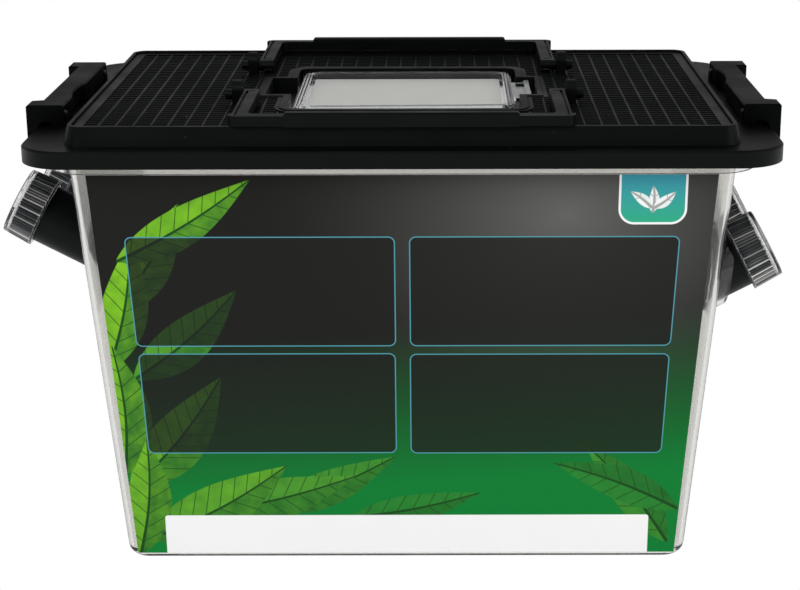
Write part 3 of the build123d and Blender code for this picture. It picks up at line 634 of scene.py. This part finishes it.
class KEEPER_OT_label(Operator):
    """Print the label film: soft charcoal to green, plain leaves, four bare panels and a white strip"""

    bl_idname = "keeper.label"
    bl_label = "Label film"

    def execute(self, context):
        settings = context.scene.keeper_label
        material, tree, shader = new_material("printed film")
        place = object_place(tree, (1000, 1000, 1000))
        point = add(tree, "ShaderNodeSeparateXYZ", {0: place}).outputs
        green = ramp(tree, calc(tree, "MULTIPLY_ADD", point["X"], -0.06, point["Z"]), 112.0, 36.0)
        paper = blend(tree, calc(tree, "POWER", green, 1.4), settings.top, settings.foot)
        kind = "ShaderNodeVectorMath"
        away = add(tree, kind, {0: place, 1: GLOW_MIDDLE}, operation="SUBTRACT").outputs[0]
        flat = add(tree, kind, {0: away, 1: GLOW_STRETCH}, operation="MULTIPLY").outputs[0]
        far = add(tree, kind, {0: flat}, operation="LENGTH").outputs["Value"]
        light = calc(tree, "POWER", ramp(tree, far, GLOW_REACH, 0.0), 2.0)
        print_colour = blend(tree, light, paper, blend(tree, 1.0, paper, settings.glow, "ADD"))
        for x, z, turn, reach, width, bright in LEAVES:
            lit = [bright * a + (1 - bright) * b for a, b in zip(settings.leaf, settings.foot)]
            print_colour = self.leaf(
                tree, print_colour, place, (x, z), turn, (reach, width), lit, settings.shade
            )
        for sides in CARDS:
            print_colour = self.card(
                tree, print_colour, place, sides, 2.6, 0.45, CARD_FILL, 0.86, settings.line
            )
        print_colour = self.card(
            tree, print_colour, place, WHITE_STRIP, 1.2, 0.0, PAPER_WHITE, 1.0, PAPER_WHITE
        )
        teal = blend(tree, ramp(tree, point["Z"], 151.0, 173.0), (0.03, 0.38, 0.2), (0.05, 0.3, 0.42))
        for x, z, turn in BADGE_LEAVES:
            teal = self.leaf(
                tree, teal, place, (x, z), turn, (12.0, 4.6), (0.9, 0.9, 0.9), (0.75, 0.8, 0.78)
            )
        print_colour = self.card(tree, print_colour, place, BADGE, 6.0, 0.9, teal, 1.0, PAPER_WHITE)
        wave = noise(tree, place, 0.05, 2.0)
        rough = ramp(tree, wave, 0.3, 0.7, 0.3, 0.38)
        feed(tree, shader, {"Base Color": print_colour, "Roughness": rough})
        feed(tree, shader, {"Normal": bump(tree, wave, 0.1, 0.0002), "Specular IOR Level": 0.05})
        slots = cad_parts["front_label"].data.materials
        slots.clear()
        slots.append(material)
        return {"FINISHED"}

    def leaf(self, tree, under, place, root, turn, size, light, dark):
        """One leaf over the print."""
        given = {"Under": under, "Place": place, "Root X": root[0], "Root Z": root[1]}
        given |= {"Turn": radians(turn), "Length": size[0], "Width": size[1]}
        given |= {"Light": light, "Dark": dark}
        return use_group(tree, "leaf print", given, leaf_print)["Colour"]

    def card(self, tree, under, place, sides, corner, line_width, fill, cover, line):
        """One panel over the print."""
        keys = ("Left", "Right", "Left Lean", "Right Lean", "Foot", "Top")
        given = {"Under": under, "Place": place, **dict(zip(keys, sides))}
        given |= {"Corner": corner, "Line Width": line_width, "Fill": fill, "Cover": cover, "Line": line}
        return use_group(tree, "card print", given, card_print)["Colour"]


# The door frame's plan, in mm from the middle: half length, front and rear of its band, then the end
# and half width of its finger well and of its tab well. Its front wall moves forward by FRAME_FORWARD.
FRAME_FORWARD = 8.0
FRAME_BAND = (52.2, 45.5 + FRAME_FORWARD, 45.5)
FRAME_FINGER_WELL = (62.2, 22.0)
FRAME_TAB_WELL = (59.4, 23.0)
# Plain strip of the grille round the frame: to each side and in front, and behind.
FRAME_STRIP = (2.0, 4.5)
# Bounds of the front wall that moves: its half length, its front and rear, and its lowest level.
WALL_HALF = 55.0
WALL_SPAN = (-50.0, -34.0)
WALL_FOOT = 182.0
# The top of the door's border: its lowest level, how far its front stands above its other sides, and
# where along the box that rise begins and is full.
BORDER_TOP = 188.0
DOOR_RISE = 1.6
HINGE_FADE = (-46.5, -37.0)
# Clear outline and frosted panel of the door: half length, front and rear.
DOOR_OUTLINE = (47.0, -48.3, 40.3)
DOOR_PANEL = (42.0, -38.5, 36.3)
DOOR_PANEL_LEVELS = (185.25, 187.05)  # just below and just above the panel
# The grille: how far its strips, webs and bars end below its top, and its bars above its foot.
STRIP_DROP, WEB_DROP, BAR_DROP, BAR_LIFT = 0.1, 0.25, 0.35, 0.2


def lid_black(context):
    """The black plastic that the lid, grille and handles share."""
    settings = context.scene.keeper_lid
    return bpy.data.materials.get("matte black plastic") or black_plastic(
        "matte black plastic", settings.black, settings.roughness, settings.dust
    )


class KEEPER_OT_lid(Operator):
    """Finish the black lid with its platform, door frame, lugs and knuckles"""

    bl_idname = "keeper.lid"
    bl_label = "Lid"

    def execute(self, context):
        mesh = cad_mesh("lid", 0.0)
        piece = link("black_lid", mesh, lid_black(context), "lid", "black_plastic", "lid")
        soften(piece, context.scene.keeper_lid.edge)
        return {"FINISHED"}


class KEEPER_OT_grille(Operator):
    """Lay out the vent grille: webs front to back, fine cross bars, borders round the slots"""

    bl_idname = "keeper.grille"
    bl_label = "Vent grille"

    def execute(self, context):
        settings = context.scene.keeper_grille
        low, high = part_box("vent_grille")
        half_x, half_y = high.x, high.y
        foot, top = low.z, high.z
        border = settings.border
        # Webs and bars end 1 mm inside the strip that they run into, here and round the frame.
        inner_x, inner_y = half_x - border + MM, half_y - border + MM
        webs = self.rows(2 * (half_x - border), settings.web_pitch)
        bars = self.rows(2 * (half_y - border), settings.bar_pitch)
        gap = MM * np.array(FRAME_STRIP)
        band_x, front_y, rear_y = MM * np.array(FRAME_BAND) + gap[[0, 0, 1]]
        well_x, well_y = MM * np.array(FRAME_FINGER_WELL) + gap[0]
        tab_x, tab_y = MM * np.array(FRAME_TAB_WELL) + gap[0]
        # How far the frame's plain strip reaches at each web and each bar.
        beside = np.where(webs < 0, well_y, tab_y)
        cut = (webs > -well_x) & (webs < tab_x)
        front = (np.where(np.abs(webs) < band_x, front_y, beside) - MM)[cut]
        rear = (np.where(np.abs(webs) < band_x, rear_y, beside) - MM)[cut]
        across, start, end = self.runs(webs, cut, inner_y, -front, rear)
        web_part = straight_bars(
            np.stack((across, start), -1), np.stack((across, end), -1),
            settings.web_width / 2, settings.web_width / 4, foot, top - WEB_DROP * MM,
        )
        cut = (bars > -front_y) & (bars < rear_y)
        low_x = (np.where(np.abs(bars) < well_y, well_x, band_x) - MM)[cut]
        high_x = (np.where(np.abs(bars) < tab_y, tab_x, band_x) - MM)[cut]
        across, start, end = self.runs(bars, cut, inner_x, -low_x, high_x)
        bar_part = straight_bars(
            np.stack((start, across), -1), np.stack((end, across), -1),
            settings.bar_width / 2, settings.bar_width / 4, foot + BAR_LIFT * MM, top - BAR_DROP * MM,
        )
        strip = top - STRIP_DROP * MM
        rim = path_ring(
            self.rectangle(half_x, half_y, 4.5 * MM),
            self.rectangle(half_x - border, half_y - border, MM),
            foot, strip,
        )
        edge = np.array([0.25 * MM, 0.25 * MM])
        frame_strip = path_ring(self.frame_path(gap), self.frame_path(edge), foot, strip)
        points, faces = joined([web_part, bar_part, rim, frame_strip])
        mesh = merged("grille surface", points, faces, 0.001 * MM, True)
        link("fine_grille", mesh, lid_black(context), "lid", "black_plastic", "vent_grille")
        return {"FINISHED"}

    def rows(self, room, pitch):
        """Middles of as many rows as fit in a room at a pitch."""
        count = int(room / pitch)
        return (np.arange(count) - (count - 1) / 2) * pitch

    def runs(self, rows, cut, reach, near, far):
        """Where rows start and end: at a reach on both sides, or at the frame's strip where they are cut."""
        whole, split = rows[~cut], rows[cut]
        reaches = reach * np.ones(len(rows))
        across = np.concatenate((whole, split, split))
        start = np.concatenate((-reaches, far))
        end = np.concatenate((reaches[: len(whole)], near, reaches[: len(split)]))
        return across, start, end

    def rectangle(self, half_x, half_y, corner):
        """Rectangle with round corners."""
        corners = np.array([half_x, half_y]) * np.array([[1, -1], [1, 1], [-1, 1], [-1, -1]])
        return corner_path(corners, [corner] * 4)

    def frame_path(self, margin):
        """Outline of the door frame and its two wells, grown by a margin and by another behind."""
        band_x, front_y, rear_y = MM * np.array(FRAME_BAND) + margin[[0, 0, 1]]
        well_x, well_y = MM * np.array(FRAME_FINGER_WELL) + margin[0]
        tab_x, tab_y = MM * np.array(FRAME_TAB_WELL) + margin[0]
        corners = [[tab_x, tab_y], [band_x, tab_y], [band_x, rear_y]]
        corners += [[-band_x, rear_y], [-band_x, well_y], [-well_x, well_y]]
        corners += [[-well_x, -well_y], [-band_x, -well_y], [-band_x, -front_y]]
        corners += [[band_x, -front_y], [band_x, -tab_y], [tab_x, -tab_y]]
        small, large = 0.6 * MM, 8 * MM + margin[0]
        return corner_path(corners, [small, small, large, large, small, small] * 2)


class KEEPER_OT_door(Operator):
    """Finish the clear trap door with its frosted panel"""

    bl_idname = "keeper.door"
    bl_label = "Trap door"

    def execute(self, context):
        tint = (0.84, 0.86, 0.88)
        material = clear_plastic("door clear plastic", tint, 0.04, 0.0, (1, 1, 1), 0.04, 0.0)
        tree = material.node_tree
        shader = tree.nodes["Principled BSDF"].inputs
        place = object_place(tree, (1000, 1000, 1000))
        flat = add(tree, "ShaderNodeMapping", {"Vector": place, "Rotation": (radians(90), 0, 0)})
        half, front, rear = DOOR_OUTLINE
        given = {"Place": flat.outputs[0], "Corner": 3.5}
        given |= {"Left": -half, "Right": half, "Foot": front, "Top": rear}
        inset = use_group(tree, "card print", given, card_print)["Distance"]
        # Two fine steps that follow the border, one inside the other.
        steps = calc(tree, "ADD", ramp(tree, inset, -1.7, -1.3), ramp(tree, inset, -3.1, -2.7))
        feed(tree, shader, {"Normal": bump(tree, steps, 1.0, 0.0006)})
        mesh = cad_mesh("trap_door", DOOR_RISE)
        self.cut(mesh)
        piece = link("clear_door", mesh, material, "trap_door", "door_plastic", "trap_door")
        half, front, rear = DOOR_PANEL
        x, y, z = values_of(mesh.polygons, "center").T / MM
        inside = (np.abs(x) < half) & (y > front) & (y < rear)
        inside &= (z > DOOR_PANEL_LEVELS[0]) & (z < DOOR_PANEL_LEVELS[1])
        second_material(piece, self.frosted(), inside)
        soften(piece, 0.0005, 3)
        return {"FINISHED"}

    def frosted(self):
        """Pale plastic of the panel, with slow patches."""
        material, tree, shader = new_material("door frosted plastic")
        patches = noise(tree, object_place(tree), 60.0, 3.0)
        pale = blend(tree, patches, (0.65, 0.65, 0.625), (0.67, 0.67, 0.645))
        feed(tree, shader, {"Base Color": pale, "Roughness": ramp(tree, patches, 0.3, 0.7, 0.37, 0.43)})
        feed(tree, shader, {"Transmission Weight": 0.4, "IOR": ACRYLIC})
        return material

    def cut(self, mesh):
        """Divide the faces along the four sides of the frosted panel."""
        work = bmesh.new()
        work.from_mesh(mesh)
        half, front, rear = DOOR_PANEL
        for side in ((-half, 0, 0), (half, 0, 0), (0, front, 0), (0, rear, 0)):
            parts = [*work.verts, *work.edges, *work.faces]
            bmesh.ops.bisect_plane(work, geom=parts, plane_co=Vector(side) * MM, plane_no=side)
        work.to_mesh(mesh)
        work.free()


class KEEPER_OT_handles(Operator):
    """Finish the two folding carry handles"""

    bl_idname = "keeper.handles"
    bl_label = "Carry handles"

    def execute(self, context):
        names = ("front_handle", "rear_handle")
        mouldings(names, lid_black(context), "black_plastic", 0.7 * MM, 3)
        return {"FINISHED"}


class KEEPER_OT_latches(Operator):
    """Finish the two lid latches"""

    bl_idname = "keeper.latches"
    bl_label = "Latches"

    def execute(self, context):
        settings = context.scene.keeper_lid
        tint, rough, dust = settings.black, settings.roughness, settings.dust
        material = black_plastic("latch black plastic", tint, rough, dust, 0.045)
        mouldings(("right_latch", "left_latch"), material, "black_plastic", settings.edge)
        return {"FINISHED"}


class KEEPER_OT_tubes(Operator):
    """Turn the four black hide tubes and their clear ribbed caps"""

    bl_idname = "keeper.tubes"
    bl_label = "Hide tubes and caps"

    def execute(self, context):
        settings = context.scene.keeper_caps
        black = black_plastic("satin tube plastic", settings.tube, 0.36, 0.1, 0.12, 1800.0)
        clear = cap_plastic("cap clear plastic", settings.clear, 1.0)
        # The ribbed band lets little light through, so its painted dark and painted highlights show.
        ribbed = cap_plastic("cap rib plastic", settings.clear, 0.12)
        for corner, (side, row, pull) in TUBES.items():
            place = tube_frame(side, row, pull)
            self.tube(f"{corner}_tube", place, black)
            self.cap(f"{corner}_cap", place, (clear, ribbed), settings)
        return {"FINISHED"}

    def tube(self, name, place, material):
        """Pipe with a small rounding at each of its four edges."""
        outer, inner, ease = TUBE_RADIUS * MM, (TUBE_RADIUS - TUBE_WALL) * MM, 0.25 * MM
        end = TUBE_END * MM
        far = end - TUBE_LENGTH * MM
        radii = (inner, inner + ease, outer - ease, outer, outer, outer - ease, inner + ease, inner)
        stations = (end - ease, end, end, end - ease, far + ease, far, far, far + ease)
        mesh = turned_surface(name + " pipe", place, radii, stations, 72)
        shade_evenly(link(name + "_pipe", mesh, material, name, "tube_plastic", name))

    def cap(self, name, place, materials, settings):
        """Cup with fine ribs, a smooth band at its closed end and a thin lip at its mouth.

        The groove between two ribs is one minus the squared cosine of half the ribs' turn.
        """
        mouth = CAP_MOUTH * MM
        closed = mouth + CAP_LENGTH * MM
        band = closed - settings.plain_band
        floor = closed - CAP_FLOOR * MM
        bore = CAP_BORE * MM
        # The profile runs from the middle of the closed end out, along the ribs to the mouth, and back in.
        radii = [0, 6, 13.4, 14.4, 14.72, 14.78, 14.82, 14.86, 15.38, 15.42, 15.45, 15.45, 15.3]
        back = [bore + 0.1 * MM, bore, bore, bore - 0.4 * MM, 6 * MM, 0]
        radii = np.concatenate((MM * np.array(radii), back))
        stations = [closed, closed, closed, closed - 0.25 * MM, closed - 0.7 * MM]
        stations += [band + 0.5 * MM, band, band - 0.3 * MM, mouth + 1.5 * MM, mouth + 1.1 * MM]
        stations += [mouth + 0.9 * MM, mouth + 0.2 * MM, mouth, mouth, mouth + 0.2 * MM]
        stations += [floor - 0.5 * MM, floor, floor, floor]
        weights = settings.rib_depth * np.array([0] * 6 + [0.0, 1, 1, 0.8, 0] + [0] * 8)

        def groove(angle):
            return 1 - np.cos(settings.ribs / 2 * angle) ** 2

        around = settings.ribs * 6
        mesh = turned_surface(name + " cup", place, radii, stations, around, groove, weights, False)
        # Paint the ribs' highlights and the dark of the tube behind them into the cap's mesh.
        self.painted_glint(mesh, place, settings.ribs, band)
        mesh.shade_smooth()
        piece = link(name + "_cup", mesh, materials[0], name, "cap_plastic", name)
        along, _, _, outside = self.measured(values_of(mesh.polygons, "center"), place)
        second_material(piece, materials[1], outside & (along < band))

    def measured(self, points, place):
        """Distances of points along a cap's axis and from it, their offsets from it, and the outer ones."""
        start, out = (np.array(part) for part in place[:2])
        away = points - start
        along = away @ out
        offset = away - along[:, None] * out
        radius = np.linalg.norm(offset, axis=1)
        outside = (radius > (CAP_BORE + 0.5) * MM) & (along > (CAP_MOUTH + CAP_LIP) * MM)
        return along, radius, offset, outside

    def painted_glint(self, mesh, place, ribs, band):
        """Store a painted highlight and a painted dark for each point of a cap's outside.

        A rib's painted highlight is a random number cubed, times the cosine of the turn from its ridge
        to the fourth, times 1.3, times 1 less 0.8 of its height over the cap's middle in radii, so it is
        painted brighter towards the underside. The ribs are painted as dark as the black tube behind them,
        and the smooth band a third as dark.
        """
        along, radius, offset, outside = self.measured(values_of(mesh.vertices, "co"), place)
        first, second = (np.array(part) for part in place[2:])
        turn = np.arctan2(offset @ second, offset @ first) / (2 * pi) * ribs
        share = np.random.default_rng(7).random(ribs) ** 3
        # Painted highlight, strongest on each rib's ridge.
        ridge = share[np.round(turn).astype(int) % ribs] * np.cos(pi * turn) ** 4
        # Painted light: brighter towards the cap's underside.
        low = 1 - 0.8 * offset[:, 2] / np.maximum(radius, MM)
        painted_glint = np.where(along > band, 0.1, 1.3 * low * ridge) * outside
        # Painted dark of the black tube seen through the ribs, a third of it on the smooth band.
        painted_tube_dark = np.where(along > band, 0.35, 1.0) * outside
        mesh.attributes.new("painted_glint", "FLOAT", "POINT").data.foreach_set("value", painted_glint)
        mesh.attributes.new("painted_tube_dark", "FLOAT", "POINT").data.foreach_set("value", painted_tube_dark)


class KEEPER_OT_bowl(Operator):
    """Finish the twin bowl and its slotted water cover"""

    bl_idname = "keeper.bowl"
    bl_label = "Twin bowl"

    def execute(self, context):
        material = black_plastic("bowl plastic", (0.012, 0.012, 0.012), 0.42, 0.1)
        mouldings(("feeding_bowl", "water_cover"), material, "bowl_plastic", 0.3 * MM)
        return {"FINISHED"}


# The camera: its place in metres, degrees below level, roll in degrees, lens in mm, and shift.
CAMERA_PLACE = (0.0157, -0.8073, 0.3438)
CAMERA_DOWN = 17.18
CAMERA_ROLL = -0.12
CAMERA_LENS = 83.34
CAMERA_SHIFT = -0.0525
FLOOR_HALF = 6.0  # metres
FLOOR_DROP = 0.4  # how far the floor lies below the box's foot, in mm


class KEEPER_OT_stage(Operator):
    """Set up the pale floor, the even light, two soft lamps and the camera"""

    bl_idname = "keeper.stage"
    bl_label = "Stage"

    def execute(self, context):
        scene = context.scene
        settings = scene.keeper_stage
        self.floor(scene, settings)
        self.sky(scene, settings)
        for name, spot, size, power in (
            ("key lamp", (-0.9, -1.3, 1.5), 1.1, settings.key),
            ("fill lamp", (1.3, -0.7, 0.9), 1.0, settings.fill),
        ):
            lamp = bpy.data.lights.new(name, "AREA")
            lamp.energy = power
            lamp.size = size
            holder = bpy.data.objects.new(name, lamp)
            holder.matrix_world = self.aimed(Vector(spot), Vector((0, 0, 0.1)))
            scene.collection.objects.link(holder)
        camera = bpy.data.cameras.new("camera")
        camera.sensor_width = 36
        camera.lens = CAMERA_LENS
        camera.shift_x = CAMERA_SHIFT
        camera.clip_end = 50
        holder = bpy.data.objects.new("camera", camera)
        roll = Matrix.Rotation(radians(CAMERA_ROLL), 4, "Z")
        tilt = Matrix.Rotation(radians(90 - CAMERA_DOWN), 4, "X") @ roll
        holder.matrix_world = Matrix.Translation(CAMERA_PLACE) @ tilt
        scene.collection.objects.link(holder)
        scene.camera = holder
        scene.view_settings.view_transform = "Standard"
        return {"FINISHED"}

    def aimed(self, spot, target):
        """Place and turn of a lamp at a spot that shines at a target."""
        turn = (spot - target).to_track_quat("Z", "Y").to_matrix().to_4x4()
        return Matrix.Translation(spot) @ turn

    def straight(self, tree):
        """1 for camera and transmission rays, and 0 for the rest."""
        path = add(tree, "ShaderNodeLightPath").outputs
        return calc(tree, "MAXIMUM", path["Is Camera Ray"], path["Is Transmission Ray"])

    def seen(self, tree, gloss, matte):
        """1 for camera and transmission rays, and the numbers given for glossy and for matte ones."""
        path = add(tree, "ShaderNodeLightPath").outputs
        shiny = ramp(tree, path["Is Glossy Ray"], 0.0, 1.0, matte, gloss)
        rest = calc(tree, "SUBTRACT", 1.0, shiny)
        return calc(tree, "MULTIPLY_ADD", rest, self.straight(tree), shiny)

    def floor(self, scene, settings):
        """Large pale floor that shows white and keeps the box's shadow."""
        mesh = bpy.data.meshes.new("floor")
        signs = ((-1, -1), (1, -1), (1, 1), (-1, 1))
        corners = [(FLOOR_HALF * x, FLOOR_HALF * y, -FLOOR_DROP * MM) for x, y in signs]
        mesh.from_pydata(corners, [], [(0, 1, 2, 3)])
        material, tree, shader = new_material("pale floor")
        pale = blend(tree, self.straight(tree), settings.floor, (0, 0, 0))
        feed(tree, shader, {"Base Color": pale, "Roughness": 0.7, "Specular IOR Level": 0})
        feed(tree, shader, {"Emission Color": (1, 1, 1), "Emission Strength": self.straight(tree)})
        mesh.materials.append(material)
        floor = bpy.data.objects.new("floor", mesh)
        scene.collection.objects.link(floor)

    def sky(self, scene, settings):
        """Even white light, dimmer where a glossy surface shows it."""
        world = bpy.data.worlds.new("studio")
        world.use_nodes = True
        tree = world.node_tree
        background = tree.nodes["Background"].inputs
        strength = self.seen(tree, settings.gloss, settings.sky)
        feed(tree, background, {"Color": (1, 1, 1), "Strength": strength})
        scene.world = world


STEPS = (
    KEEPER_OT_tank, KEEPER_OT_label, KEEPER_OT_lid, KEEPER_OT_grille, KEEPER_OT_door,
    KEEPER_OT_handles, KEEPER_OT_latches, KEEPER_OT_tubes, KEEPER_OT_bowl, KEEPER_OT_stage,
)


class KEEPER_PT_box(Panel):
    """Sidebar panel with a button for each piece and the settings it takes"""

    bl_idname = "KEEPER_PT_box"
    bl_label = "Keeper Box"
    bl_space_type = "VIEW_3D"
    bl_region_type = "UI"
    bl_category = "Keeper Box"

    def draw(self, context):
        for step in STEPS:
            self.layout.operator(step.bl_idname)
        for name in SETTINGS:
            group = getattr(context.scene, name)
            box = self.layout.box()
            for key in group.__annotations__:
                box.prop(group, key)


SETTINGS = {
    "keeper_tank": KeeperTankSettings,
    "keeper_lid": KeeperLidSettings,
    "keeper_grille": KeeperGrilleSettings,
    "keeper_caps": KeeperCapSettings,
    "keeper_label": KeeperLabelSettings,
    "keeper_stage": KeeperStageSettings,
}


def register():
    """Register the classes and put their settings on the scene."""
    for group in SETTINGS.values():
        bpy.utils.register_class(group)
    for item in (*STEPS, KEEPER_PT_box):
        bpy.utils.register_class(item)
    for name, group in SETTINGS.items():
        setattr(bpy.types.Scene, name, PointerProperty(type=group))


def unregister():
    """Take the settings and the classes away again."""
    for name in SETTINGS:
        delattr(bpy.types.Scene, name)
    for item in (KEEPER_PT_box, *reversed(STEPS), *reversed(SETTINGS.values())):
        bpy.utils.unregister_class(item)


def main():
    """Make every piece and the stage."""
    register()
    for step in STEPS:
        getattr(bpy.ops.keeper, step.bl_idname.split(".")[1])()


if __name__ == "__main__":
    main()
